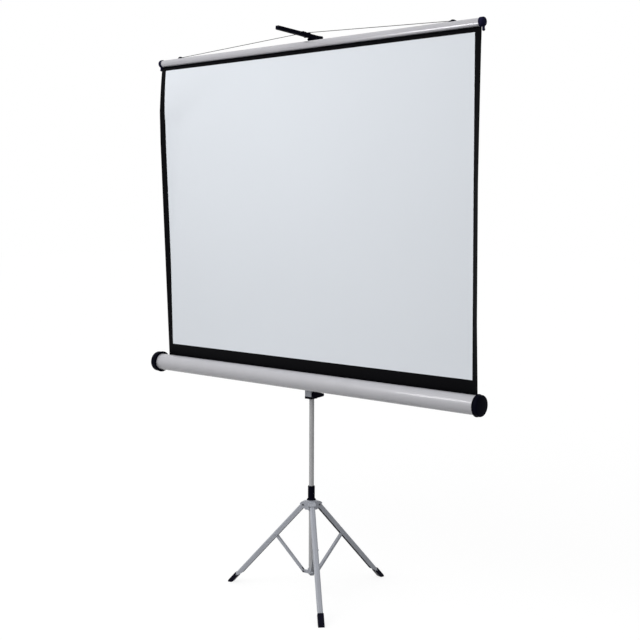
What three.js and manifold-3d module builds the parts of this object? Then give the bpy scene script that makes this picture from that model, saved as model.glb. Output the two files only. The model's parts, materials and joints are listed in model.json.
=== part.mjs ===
// Tripod projection screen: a folding three-legged stand with a telescopic mast, a roller case on a
// sliding carriage, and a screen that hangs by a wire from a notched arm at the top of the rod.
// Units are millimetres. +Z is up, +X is the screen's right side seen from the front, and the
// screen faces -Y. Pieces are placed from the mast axis and the floor, and the finished group is
// shifted so that its origin is the centre of its footprint, on the floor.
import * as THREE from 'three';
import { mergeVertices } from 'three/addons/utils/BufferGeometryUtils.js';
import Module from 'manifold-3d';

const wasm = await Module();
wasm.setup();

// Gaps between pieces
const GAP = 0.3;
const HINGE_GAP = 0.4;

// Screen and fabric
const IMAGE_WIDTH = 1500;
const IMAGE_HEIGHT = 1125;
const SIDE_BORDER = 25;
const TOP_BORDER = 16.4;
const BOTTOM_DROP = 77.3;
const FABRIC_THICKNESS = 0.8;
const FABRIC_FROM_MAST = 39.1;
const FABRIC_LEAN = 22;

// Roller case
const CASE_AXIS_Z = 836.7;
const CASE_FROM_MAST = 66;
const CASE_RADIUS = 33;
const CASE_WALL = 1.5;
const CASE_END_ROOM = 13;
const CASE_SLOT_START = 20;
const CASE_SLOT_END = 80;
const CAP_PLUG_DEPTH = 6;
const RIGHT_CAP_RADIUS = 38.6;
const RIGHT_CAP_WIDTH = 20;
const LEFT_CAP_RADIUS = 43;
const LEFT_CAP_WIDTH = 30;
const CAP_RIB_WIDTH = 4;
const CAP_RIB_HEIGHT = 2;
const CAP_EDGE_ROUND = 5;
const CAP_DOME = 1.5;

// Roller inside the case
const ROLLER_RADIUS = 16;
const ROLLER_WALL = 1.2;
const ROLLER_END_PLAY = 1.5;
const ROLLER_PLUG_DEPTH = 18;
const ROLLER_PLUG_FLANGE = 2;
const ROLL_THICKNESS = 2.5;
const AXLE_RADIUS = 5;
const AXLE_SEAT_DEPTH = 8;
const SPRING_AXLE_LENGTH = 130;
const PIN_AXLE_LENGTH = 22;
const SPRING_RADIUS = 10;
const SPRING_WIRE_RADIUS = 1.2;
const SPRING_TURNS = 7;
const SPRING_LENGTH = 90;

// Slat at the top of the fabric
const SLAT_RADIUS = 13.6;
const SLAT_WALL = 1.2;
const SLAT_INSET = 5;
const SLAT_SLOT_WIDTH = 3.6;
const BEAD_RADIUS = 3;
const SLAT_CAP_RADIUS = 15.6;
const SLAT_CAP_WIDTH = 17;
const SLAT_CAP_ROUND = 6;
const SLAT_PLUG_DEPTH = 10;
const TAIL_RADIUS = 4.6;
const TAIL_DROP = 24.5;
const ANCHOR_FROM_END = 108;
const ANCHOR_LENGTH = 30;
const ANCHOR_WIDTH = 7;
const ANCHOR_HEIGHT = 5;
const WIRE_RADIUS = 1.1;

// Mast, the rod that slides in it and the guide bush between them
const MAST_RADIUS = 9.5;
const ROD_RADIUS = 7.5;
const TUBE_WALL = 1.1;
const MAST_TOP_Z = 1400;
const ROD_IN_MAST = 250;
const BUSH_WALL = 3;
const BUSH_SKIRT = 16;
const BUSH_HEAD = 10;
const PLUG_HEAD = 3;
const PLUG_STEM = 7;

// Arm at the rod's top
const ARM_LENGTH = 226;
const ARM_HEIGHT = 15;
const ARM_TIP_HEIGHT = 14;
const ARM_TIP_ROUND = 3;
const ARM_WIDTH = 12;
const ARM_TILT = THREE.MathUtils.degToRad(3);
const ARM_HOLE_RADIUS = 2.5;
const ARM_HOLE_INSET = 8;
const ARM_PIN_RADIUS = 2.6;
const ARM_PIN_BEHIND_MAST = 32;
const ARM_PIN_ABOVE_SLAT = 36.6;
const NOTCH_BEHIND_SLAT = 10;
const NOTCH_DEPTH = 7;
const TOOTH_HEIGHT = 3;
const KNUCKLE_WALL = 4;
const KNUCKLE_NOSE = 21;
const KNUCKLE_ROUND = 4;
const SOCKET_RADIUS = 10.4;
const SOCKET_DEPTH = 22;

// Tripod linkage: the braces are as long as the part of the leg above them, so the hub rises straight
const LEG_AZIMUTHS = [198, 318, 78];
const LEG_SPREAD = THREE.MathUtils.degToRad(42.2);
const LEG_TO_FLOOR = 471;
const PIVOT_RADIUS = 30;
const BRACE_LENGTH = 178;
const LEG_WIDTH = 20;
const LEG_WEB_FROM_PIVOT = 10.5;
const LEG_OPEN_FROM_PIVOT = 8.5;
const LEG_WALL = 1.5;
const LEG_CORNER = 6;
const LEG_END_TO_FLOOR = 26;
const LEG_NECK_DEPTH = 14;
const LEG_NECK_ABOVE_FOOT = 4;
const LEG_NECK_TAPER = 18;
const BRACE_WIDTH = 14;
const BRACE_DEPTH = 9;
const BRACE_WALL = 1.2;
const BRACE_CORNER = 3;
const BRACE_EAR = 6;
const BRACE_WEB_CUT = 15;
const RIVET_RADIUS = 2.4;
const RIVET_HEAD_RADIUS = 4.2;
const RIVET_SPACER_RADIUS = 3.4;
const RIVET_HEAD_HEIGHT = 1.4;
const COLLAR_RIVET_HEAD_HEIGHT = 0.8;
const FOOT_WALL = 1.5;
const FOOT_LENGTH = 45;
const FOOT_EDGE_ROUND = 2;
const FOOT_TOE_ROUND = 8;
const FOOT_HEEL_RISE = 5;
const FOOT_V_WIDTH = 7;
const FOOT_V_DEPTH = 9;

// Hub, its grip sleeve and the brace collar
const HUB_CORE_RADIUS = 16.5;
const HUB_ABOVE_PIVOT = 14.6;
const HUB_WALL = 2;
const HUB_NECK_HEIGHT = 6;
const HUB_HOOD_REACH = 6;
const HUB_BELOW_PIVOT = 18;
const SLEEVE_RADIUS = 13.3;
const SLEEVE_LENGTH = 54.5;
const SLEEVE_FLARE_RADIUS = 17.5;
const SLEEVE_FLARE_HEIGHT = 6;
const COLLAR_RADIUS = 12.8;
const COLLAR_ABOVE_PIVOT = 14;
const COLLAR_BELOW_PIVOT = 6;
const COLLAR_LUG_RADIUS = 5;

// Carriage that carries the case on the mast
const BRACKET_WIDTH = 32;
const BRACKET_FRONT = 21;
const BRACKET_BACK = 13;
const BRACKET_WALL = 2;
const BRACKET_BOTTOM_Z = 770.5;
const BRACKET_CHEEK_TOP_Z = 824;
const BOLT_RADIUS = 4;
const BOLT_HEAD_RADIUS = 7;
const BOLT_HEAD_HEIGHT = 4.5;
const BOLT_REACH = 6;
const PLATE_ABOVE_BOLT = 16;
const BUSH_LIP_HEIGHT = 8;
const BUSH_LIP_OVERHANG = 1.5;
const SADDLE_LENGTH = 70;
const SADDLE_UP = 8;
const SADDLE_DOWN = 20;
const LEVER_WIDTH = 7;
const LEVER_BEHIND_PIN = 50;
const LEVER_ROOT_RADIUS = 14;
const LEVER_TIP_RADIUS = 6;
const LEVER_PIN_RADIUS = 3;
const LEVER_PIN_Y = -7;
const LEVER_PIN_ABOVE_BRACKET = 9;
const LEVER_TIP_DROP = 6;
const LEVER_SPRING_TURNS = 2;
const LEVER_SPRING_WIRE_RADIUS = 0.6;

// Facets
const CASE_SEGMENTS = 32;
const ROUND_SEGMENTS = 24;
const SMALL_SEGMENTS = 12;
const FINE_SEGMENTS = 6;

// Derived places
const FABRIC_WIDTH = IMAGE_WIDTH + 2 * SIDE_BORDER;
const CASE_LENGTH = FABRIC_WIDTH + 2 * CASE_END_ROOM;
const SLAT_LENGTH = FABRIC_WIDTH - 2 * SLAT_INSET;
const IMAGE_BOTTOM_Z = CASE_AXIS_Z + BOTTOM_DROP;
const SLAT_AXIS_Z = IMAGE_BOTTOM_Z + IMAGE_HEIGHT + TOP_BORDER + SLAT_RADIUS;
const fabricY = (z) => -FABRIC_FROM_MAST - (FABRIC_LEAN * (z - IMAGE_BOTTOM_Z)) / IMAGE_HEIGHT;
const SLAT_Y = fabricY(SLAT_AXIS_Z);
const CASE_Y = -CASE_FROM_MAST;
const HUB_PIVOT_Z = LEG_TO_FLOOR * Math.cos(LEG_SPREAD);
const COLLAR_PIVOT_Z = HUB_PIVOT_Z - 2 * BRACE_LENGTH * Math.cos(LEG_SPREAD);
const MAST_BOTTOM_Z = COLLAR_PIVOT_Z - COLLAR_BELOW_PIVOT;
const ROD_BOTTOM_Z = MAST_TOP_Z - ROD_IN_MAST;
const ARM_PIN_Z = SLAT_AXIS_Z + ARM_PIN_ABOVE_SLAT;
const ROD_TOP_Z = ARM_PIN_Z - ARM_HEIGHT / 2 - KNUCKLE_WALL - 2 * GAP;
const HUB_TOP_Z = HUB_PIVOT_Z + HUB_ABOVE_PIVOT + HUB_NECK_HEIGHT;
const LEG_END = LEG_END_TO_FLOOR - LEG_TO_FLOOR;
const FOOT_TOP = FOOT_LENGTH - LEG_TO_FLOOR;
const LEG_NECK = LEG_WEB_FROM_PIVOT - LEG_NECK_DEPTH;
const MAST_BORE_RADIUS = MAST_RADIUS + GAP;

// Colours seen in the photograph
const SATIN_SILVER = { color: 0xb9b9bd, roughness: 0.42, metalness: 0.85 };
const STEEL_GREY = { color: 0x9b9ca3, roughness: 0.38, metalness: 0.9 };
const BLACK_PLASTIC = { color: 0x0c0c14, roughness: 0.45, metalness: 0.0 };
const BRIGHT_STEEL = { color: 0xc4c5c8, roughness: 0.3, metalness: 1.0 };
const SCREEN_CLOTH = { color: 0xdfe2e8, roughness: 0.9, metalness: 0.0 };
const ROLLER_STEEL = { color: 0x8d8f94, roughness: 0.5, metalness: 0.8 };

const model = new THREE.Group();

function addPiece(name, geometry, finish, parent = model) {
  const mesh = new THREE.Mesh(geometry, new THREE.MeshStandardMaterial(finish));
  mesh.name = name;
  parent.add(mesh);
  return mesh;
}

// Boolean helpers: closed geometries in, closed geometry out
function toSolid(geometry) {
  const bare = geometry.clone();
  bare.deleteAttribute('normal');
  bare.deleteAttribute('uv');
  const merged = mergeVertices(bare, 1e-4);
  const corners = merged.index.array;
  const kept = [];
  for (let i = 0; i < corners.length; i += 3) {
    const [a, b, c] = [corners[i], corners[i + 1], corners[i + 2]];
    if (a !== b && b !== c && c !== a) kept.push(a, b, c);
  }
  const vertProperties = new Float32Array(merged.attributes.position.array);
  const triVerts = new Uint32Array(kept);
  return new wasm.Manifold(new wasm.Mesh({ numProp: 3, vertProperties, triVerts }));
}

function toGeometry(solid) {
  const mesh = solid.getMesh();
  const geometry = new THREE.BufferGeometry();
  geometry.setAttribute('position', new THREE.BufferAttribute(new Float32Array(mesh.vertProperties), 3));
  geometry.setIndex(new THREE.BufferAttribute(new Uint32Array(mesh.triVerts), 1));
  geometry.computeVertexNormals();
  return geometry;
}

function combine(base, { add = [], cut = [], keep = [] }) {
  let solid = toSolid(base);
  for (const geometry of add) solid = solid.add(toSolid(geometry));
  for (const geometry of keep) solid = solid.intersect(toSolid(geometry));
  for (const geometry of cut) solid = solid.subtract(toSolid(geometry));
  return toGeometry(solid);
}

// Profile helpers
const points = (pairs) => pairs.map(([a, b]) => new THREE.Vector2(a, b));

function revolveZ(pairs, segments = ROUND_SEGMENTS) {
  return new THREE.LatheGeometry(points(pairs), segments).rotateX(Math.PI / 2);
}

function revolveX(pairs, segments = ROUND_SEGMENTS) {
  return new THREE.LatheGeometry(points(pairs), segments).rotateZ(-Math.PI / 2);
}

function revolveY(pairs, segments = ROUND_SEGMENTS) {
  return new THREE.LatheGeometry(points(pairs), segments);
}

const rod = (radius, from, to) => [[0, from], [radius, from], [radius, to], [0, to]];

function ring(inner, outer, from, to) {
  return [[inner, from], [outer, from], [outer, to], [inner, to], [inner, from]];
}

function extrude(shape, depth, curveSegments = FINE_SEGMENTS) {
  return new THREE.ExtrudeGeometry(shape, { depth, bevelEnabled: false, curveSegments });
}

// A profile drawn in (y, z), extruded along X and centred on x = 0
function extrudeAlongX(shape, length, curveSegments = FINE_SEGMENTS) {
  const turn = new THREE.Matrix4().makeBasis(
    new THREE.Vector3(0, 1, 0),
    new THREE.Vector3(0, 0, 1),
    new THREE.Vector3(1, 0, 0),
  );
  return extrude(shape, length, curveSegments).applyMatrix4(turn).translate(-length / 2, 0, 0);
}

// A profile drawn in (x, z), extruded along Y and centred on y = 0
function extrudeAlongY(shape, width, curveSegments = FINE_SEGMENTS) {
  return extrude(shape, width, curveSegments).rotateX(Math.PI / 2).translate(0, width / 2, 0);
}

function roundedRectangle(x0, y0, x1, y1, radius) {
  const shape = new THREE.Shape();
  shape.moveTo(x0 + radius, y0);
  shape.lineTo(x1 - radius, y0);
  shape.absarc(x1 - radius, y0 + radius, radius, -Math.PI / 2, 0, false);
  shape.lineTo(x1, y1 - radius);
  shape.absarc(x1 - radius, y1 - radius, radius, 0, Math.PI / 2, false);
  shape.lineTo(x0 + radius, y1);
  shape.absarc(x0 + radius, y1 - radius, radius, Math.PI / 2, Math.PI, false);
  shape.lineTo(x0, y0 + radius);
  shape.absarc(x0 + radius, y0 + radius, radius, Math.PI, 1.5 * Math.PI, false);
  return shape;
}

function polygon(pairs) {
  return new THREE.Shape(points(pairs));
}

function box(x0, x1, y0, y1, z0, z1) {
  const geometry = new THREE.BoxGeometry(x1 - x0, y1 - y0, z1 - z0);
  return geometry.translate((x0 + x1) / 2, (y0 + y1) / 2, (z0 + z1) / 2);
}

// A tube wall with a lengthwise slot between two angles, given in degrees from +Y towards +Z
function slottedTube(radius, wall, slotStart, slotEnd, length) {
  const from = THREE.MathUtils.degToRad(slotEnd);
  const to = THREE.MathUtils.degToRad(slotStart + 360);
  const shape = new THREE.Shape();
  shape.absarc(0, 0, radius, from, to, false);
  shape.absarc(0, 0, radius - wall, to, from, true);
  return extrudeAlongX(shape, length, CASE_SEGMENTS);
}

// A round wire along a curve
function wireAlong(curve, radius, steps, sides) {
  const section = new THREE.Shape();
  section.absarc(0, 0, radius, 0, 2 * Math.PI, false);
  return new THREE.ExtrudeGeometry(section, {
    steps,
    extrudePath: curve,
    curveSegments: sides,
    bevelEnabled: false,
  });
}

class HelixAlongX extends THREE.Curve {
  constructor(radius, length, turns) {
    super();
    Object.assign(this, { radius, length, turns });
  }

  getPoint(t, target = new THREE.Vector3()) {
    const angle = 2 * Math.PI * this.turns * t;
    return target.set(this.length * (t - 0.5), this.radius * Math.cos(angle), this.radius * Math.sin(angle));
  }
}

// A U-shaped channel along Z, from its open edges at x = open to its web at x = web
function channel({ width, open, web, wall, corner, from, to }) {
  const w = width / 2;
  const inner = Math.max(corner - wall, 0.5);
  const bend = web - corner;
  const innerBend = web - wall - inner;
  const shape = new THREE.Shape();
  shape.moveTo(open, -w);
  shape.lineTo(bend, -w);
  shape.absarc(bend, -w + corner, corner, -Math.PI / 2, 0, false);
  shape.lineTo(web, w - corner);
  shape.absarc(bend, w - corner, corner, 0, Math.PI / 2, false);
  shape.lineTo(open, w);
  shape.lineTo(open, w - wall);
  shape.lineTo(innerBend, w - wall);
  shape.absarc(innerBend, w - wall - inner, inner, Math.PI / 2, 0, true);
  shape.lineTo(web - wall, -w + wall + inner);
  shape.absarc(innerBend, -w + wall + inner, inner, 0, -Math.PI / 2, true);
  shape.lineTo(open, -w + wall);
  return extrude(shape, to - from, 4).translate(0, 0, from);
}

const pivotHole = (radius, width) => revolveY(rod(radius, -width, width), SMALL_SEGMENTS);

// A rivet along Y: a shank, a spacer shoulder inside the outer piece and a head at each end
function rivet(grip, { headHeight = RIVET_HEAD_HEIGHT, shoulderOuter = 0, shoulderInner = 0 } = {}) {
  const end = grip / 2 + GAP;
  const side = shoulderOuter > 0
    ? [[RIVET_RADIUS, shoulderInner], [RIVET_SPACER_RADIUS, shoulderInner],
      [RIVET_SPACER_RADIUS, shoulderOuter], [RIVET_RADIUS, shoulderOuter]]
    : [];
  const head = [[RIVET_RADIUS, end], [RIVET_HEAD_RADIUS, end],
    [RIVET_HEAD_RADIUS * 0.75, end + headHeight], [0, end + headHeight]];
  const upper = [...side, ...head];
  const lower = upper.map(([r, y]) => [r, -y]).reverse();
  return revolveY([...lower, ...upper], SMALL_SEGMENTS);
}

// Telescopic mast
function tubePiece(name, radius, from, to, finish) {
  addPiece(name, revolveZ(ring(radius - TUBE_WALL, radius, from, to)), finish);
}

function guideBush(name, tubeRadius, innerRadius, top) {
  const outer = tubeRadius + GAP + BUSH_WALL;
  const bore = innerRadius + GAP;
  const profile = [
    [tubeRadius + GAP, top - BUSH_SKIRT],
    [outer - 1, top - BUSH_SKIRT],
    [outer, top - BUSH_SKIRT + 1],
    [outer, top + BUSH_HEAD - 2],
    [outer - 2, top + BUSH_HEAD],
    [bore, top + BUSH_HEAD],
    [bore, top + GAP],
    [tubeRadius + GAP, top + GAP],
    [tubeRadius + GAP, top - BUSH_SKIRT],
  ];
  addPiece(name, revolveZ(profile), BLACK_PLASTIC);
}

function buildMast() {
  tubePiece('mast_tube', MAST_RADIUS, MAST_BOTTOM_Z, MAST_TOP_Z, STEEL_GREY);
  tubePiece('extension_rod', ROD_RADIUS, ROD_BOTTOM_Z, ROD_TOP_Z, BRIGHT_STEEL);
  guideBush('mast_top_bush', MAST_RADIUS, ROD_RADIUS, MAST_TOP_Z);
  const stem = MAST_RADIUS - TUBE_WALL - GAP;
  const seat = MAST_BOTTOM_Z - GAP;
  const plug = [[0, seat - PLUG_HEAD], [MAST_RADIUS - 1, seat - PLUG_HEAD], [MAST_RADIUS, seat - PLUG_HEAD + 1],
    [MAST_RADIUS, seat], [stem, seat], [stem, seat + PLUG_STEM], [0, seat + PLUG_STEM]];
  addPiece('mast_plug', revolveZ(plug), BLACK_PLASTIC);
}

// Tripod. The hub's hoods lie along the spread legs and end them there
function alongLeg(outward, down) {
  return [
    outward * Math.cos(LEG_SPREAD) + down * Math.sin(LEG_SPREAD),
    outward * Math.sin(LEG_SPREAD) - down * Math.cos(LEG_SPREAD),
  ];
}

function hoodOutline() {
  const roof = LEG_WEB_FROM_PIVOT + HINGE_GAP + HUB_WALL;
  const shoulder = (roof * Math.sin(LEG_SPREAD) - HUB_ABOVE_PIVOT) / Math.cos(LEG_SPREAD);
  const outline = new THREE.Shape();
  outline.moveTo(-PIVOT_RADIUS, HUB_ABOVE_PIVOT);
  outline.lineTo(-PIVOT_RADIUS, -HUB_BELOW_PIVOT);
  outline.lineTo(-LEG_WEB_FROM_PIVOT, -HUB_BELOW_PIVOT);
  outline.lineTo(...alongLeg(-LEG_OPEN_FROM_PIVOT, HUB_HOOD_REACH));
  outline.lineTo(...alongLeg(roof, HUB_HOOD_REACH));
  outline.lineTo(...alongLeg(roof, 0));
  outline.quadraticCurveTo(...alongLeg(roof, shoulder), -HUB_ABOVE_PIVOT, HUB_ABOVE_PIVOT);
  return outline;
}

function hoodRoom() {
  const roof = LEG_WEB_FROM_PIVOT + HINGE_GAP;
  const back = LEG_OPEN_FROM_PIVOT + HUB_WALL;
  const reach = 5 * roof;
  const room = new THREE.Shape();
  room.absarc(0, 0, roof, LEG_SPREAD, Math.PI, false);
  room.lineTo(-back, -LEG_OPEN_FROM_PIVOT / 2);
  room.lineTo(-back, -reach);
  room.lineTo(...alongLeg(roof, reach));
  return room;
}

function buildHub() {
  const lobeWidth = LEG_WIDTH + 2 * (HINGE_GAP + HUB_WALL);
  const slotWidth = LEG_WIDTH + 2 * HINGE_GAP;
  const core = revolveZ(rod(HUB_CORE_RADIUS, -HUB_BELOW_PIVOT, HUB_ABOVE_PIVOT + HUB_NECK_HEIGHT));
  const lobes = [];
  const cuts = [revolveZ(rod(MAST_BORE_RADIUS, -2 * HUB_BELOW_PIVOT, 2 * HUB_ABOVE_PIVOT))];
  for (const azimuth of LEG_AZIMUTHS) {
    const place = new THREE.Matrix4().makeRotationZ(THREE.MathUtils.degToRad(azimuth));
    place.multiply(new THREE.Matrix4().makeTranslation(PIVOT_RADIUS, 0, 0));
    lobes.push(extrudeAlongY(hoodOutline(), lobeWidth).applyMatrix4(place));
    cuts.push(extrudeAlongY(hoodRoom(), slotWidth).applyMatrix4(place));
    cuts.push(pivotHole(RIVET_RADIUS + GAP, lobeWidth).applyMatrix4(place));
  }
  const hub = combine(core, { add: lobes, cut: cuts });
  addPiece('leg_hub', hub, STEEL_GREY).position.z = HUB_PIVOT_Z;

  const base = GAP;
  const flareTop = base + SLEEVE_FLARE_HEIGHT;
  const top = base + SLEEVE_LENGTH;
  const sleeve = [
    [MAST_BORE_RADIUS, base],
    [SLEEVE_FLARE_RADIUS, base],
    [SLEEVE_FLARE_RADIUS, base + 2],
    [SLEEVE_RADIUS, flareTop],
    [SLEEVE_RADIUS, top - 1.5],
    [SLEEVE_RADIUS - 1.5, top],
    [MAST_BORE_RADIUS, top],
    [MAST_BORE_RADIUS, base],
  ];
  addPiece('hub_sleeve', revolveZ(sleeve), BLACK_PLASTIC).position.z = HUB_TOP_Z;
}

function buildCollar() {
  const lugWidth = BRACE_WIDTH - 2 * (BRACE_WALL + HINGE_GAP);
  const body = revolveZ(rod(COLLAR_RADIUS, -COLLAR_BELOW_PIVOT, COLLAR_ABOVE_PIVOT));
  const lugs = [];
  const cuts = [revolveZ(rod(MAST_BORE_RADIUS, -2 * COLLAR_BELOW_PIVOT, 2 * COLLAR_ABOVE_PIVOT))];
  for (const azimuth of LEG_AZIMUTHS) {
    const outline = new THREE.Shape();
    outline.moveTo(-PIVOT_RADIUS, COLLAR_LUG_RADIUS);
    outline.lineTo(-PIVOT_RADIUS, -COLLAR_BELOW_PIVOT);
    outline.lineTo(COLLAR_RADIUS - PIVOT_RADIUS, -COLLAR_BELOW_PIVOT);
    outline.lineTo(0, -COLLAR_LUG_RADIUS);
    outline.absarc(0, 0, COLLAR_LUG_RADIUS, -Math.PI / 2, Math.PI / 2, false);
    const place = new THREE.Matrix4().makeRotationZ(THREE.MathUtils.degToRad(azimuth));
    place.multiply(new THREE.Matrix4().makeTranslation(PIVOT_RADIUS, 0, 0));
    lugs.push(extrudeAlongY(outline, lugWidth).applyMatrix4(place));
    cuts.push(pivotHole(RIVET_RADIUS + GAP, BRACE_WIDTH).applyMatrix4(place));
  }
  const collar = combine(body, { add: lugs, cut: cuts });
  addPiece('brace_collar', collar, STEEL_GREY).position.z = COLLAR_PIVOT_Z;
}

// Leg channel hanging from its pivot at the origin, folded flat against the mast. Its side walls
// narrow to a neck above the foot
function legGeometry() {
  const web = LEG_WEB_FROM_PIVOT;
  const open = -LEG_OPEN_FROM_PIVOT;
  const neckTop = FOOT_TOP + LEG_NECK_ABOVE_FOOT;
  const taperTop = neckTop + LEG_NECK_TAPER;
  const taperMiddle = (neckTop + taperTop) / 2;
  const side = new THREE.Shape();
  side.absarc(0, 0, web, 0, Math.PI, false);
  side.lineTo(open, open / 2);
  side.lineTo(open, taperTop);
  side.bezierCurveTo(open, taperMiddle, LEG_NECK, taperMiddle, LEG_NECK, neckTop);
  side.lineTo(LEG_NECK, LEG_END);
  side.lineTo(web, LEG_END);
  const bar = channel({
    width: LEG_WIDTH, open, web, wall: LEG_WALL, corner: LEG_CORNER, from: LEG_END, to: web,
  });
  return combine(bar, {
    keep: [extrudeAlongY(side, 2 * LEG_WIDTH)],
    cut: [
      pivotHole(RIVET_RADIUS + GAP, LEG_WIDTH),
      pivotHole(RIVET_RADIUS + GAP, LEG_WIDTH).translate(0, 0, -BRACE_LENGTH),
    ],
  });
}

// Brace channel standing on its pivot at the origin, with its web towards the mast
function braceGeometry() {
  const d = BRACE_DEPTH / 2;
  const side = new THREE.Shape();
  side.absarc(0, BRACE_LENGTH, d, 0, Math.PI, false);
  side.lineTo(-d, 0);
  side.absarc(0, 0, d, Math.PI, 2 * Math.PI, false);
  const webCut = BRACE_WIDTH / 2 - BRACE_WALL;
  const bar = channel({
    width: BRACE_WIDTH, open: -d, web: d, wall: BRACE_WALL, corner: BRACE_CORNER,
    from: -BRACE_EAR, to: BRACE_LENGTH + BRACE_EAR,
  });
  return combine(bar.rotateZ(Math.PI), {
    keep: [extrudeAlongY(side, 2 * BRACE_WIDTH)],
    cut: [
      box(-BRACE_DEPTH, BRACE_DEPTH, -webCut, webCut, -2 * BRACE_EAR, BRACE_WEB_CUT),
      pivotHole(RIVET_RADIUS + GAP, BRACE_WIDTH),
      pivotHole(RIVET_RADIUS + GAP, BRACE_WIDTH).translate(0, 0, BRACE_LENGTH),
    ],
  });
}

// Boot on the leg's neck, in the leg's upright plane with the hub pivot at the origin. It is drawn
// along the leg, then leaned with it and cut off level with the floor
function footGeometry() {
  const front = LEG_WEB_FROM_PIVOT + GAP + FOOT_WALL;
  const back = LEG_NECK - GAP - FOOT_WALL;
  const half = LEG_WIDTH / 2 + GAP + FOOT_WALL;
  const floorAt = (x) => -LEG_TO_FLOOR - x * Math.tan(LEG_SPREAD);
  const toe = front - FOOT_TOE_ROUND;
  const inset = FOOT_EDGE_ROUND;
  const side = new THREE.Shape();
  side.moveTo(back + inset, FOOT_TOP - inset);
  side.lineTo(back + inset, floorAt(back + inset) + FOOT_HEEL_RISE);
  side.lineTo(back + 2 * inset, floorAt(back + 2 * inset));
  side.lineTo(toe, floorAt(toe));
  side.quadraticCurveTo(front - inset, floorAt(front - inset), front - inset, floorAt(front) + 2 * FOOT_TOE_ROUND);
  side.lineTo(front - inset, FOOT_TOP - inset);
  const shell = new THREE.ExtrudeGeometry(side, {
    depth: 2 * (half - inset),
    bevelSize: inset,
    bevelThickness: inset,
    bevelSegments: 2,
    curveSegments: FINE_SEGMENTS,
  }).rotateX(Math.PI / 2).translate(0, half - inset, 0);
  const socket = box(LEG_NECK - GAP, LEG_WEB_FROM_PIVOT + GAP, FOOT_WALL - half, half - FOOT_WALL,
    LEG_END - GAP, FOOT_TOP + FOOT_LENGTH);
  const middle = (front + back) / 2;
  const notch = extrudeAlongY(polygon([
    [middle - FOOT_V_WIDTH / 2, FOOT_TOP + GAP],
    [middle, FOOT_TOP - FOOT_V_DEPTH],
    [middle + FOOT_V_WIDTH / 2, FOOT_TOP + GAP],
  ]), 4 * half);
  const boot = combine(shell, { cut: [socket, notch] });
  boot.rotateY(-LEG_SPREAD);
  const reach = 2 * LEG_TO_FLOOR;
  return combine(boot, { cut: [box(-reach, reach, -reach, reach, -HUB_PIVOT_Z - reach, -HUB_PIVOT_Z)] });
}

function buildTripod() {
  buildHub();
  buildCollar();
  const leg = legGeometry();
  const brace = braceGeometry();
  const foot = footGeometry();
  const hubRivet = rivet(LEG_WIDTH + 2 * (HINGE_GAP + HUB_WALL));
  const braceRivet = rivet(LEG_WIDTH, {
    shoulderOuter: LEG_WIDTH / 2 - LEG_WALL - GAP,
    shoulderInner: BRACE_WIDTH / 2 + GAP,
  });
  const collarRivet = rivet(BRACE_WIDTH, { headHeight: COLLAR_RIVET_HEAD_HEIGHT });
  LEG_AZIMUTHS.forEach((azimuth, index) => {
    const number = index + 1;
    const plane = new THREE.Group();
    plane.rotation.z = THREE.MathUtils.degToRad(azimuth);
    model.add(plane);
    const hubPivot = new THREE.Group();
    hubPivot.position.set(PIVOT_RADIUS, 0, HUB_PIVOT_Z);
    const collarPivot = new THREE.Group();
    collarPivot.position.set(PIVOT_RADIUS, 0, COLLAR_PIVOT_Z);
    plane.add(hubPivot, collarPivot);
    addPiece(`leg_${number}`, leg, STEEL_GREY, hubPivot).rotation.y = -LEG_SPREAD;
    addPiece(`foot_${number}`, foot, BLACK_PLASTIC, hubPivot);
    addPiece(`hub_rivet_${number}`, hubRivet, BRIGHT_STEEL, hubPivot);
    addPiece(`brace_rivet_${number}`, braceRivet, BRIGHT_STEEL, hubPivot).position.set(
      BRACE_LENGTH * Math.sin(LEG_SPREAD),
      0,
      -BRACE_LENGTH * Math.cos(LEG_SPREAD),
    );
    addPiece(`brace_${number}`, brace, STEEL_GREY, collarPivot).rotation.y = LEG_SPREAD;
    addPiece(`collar_rivet_${number}`, collarRivet, BRIGHT_STEEL, collarPivot);
  });
}

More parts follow.
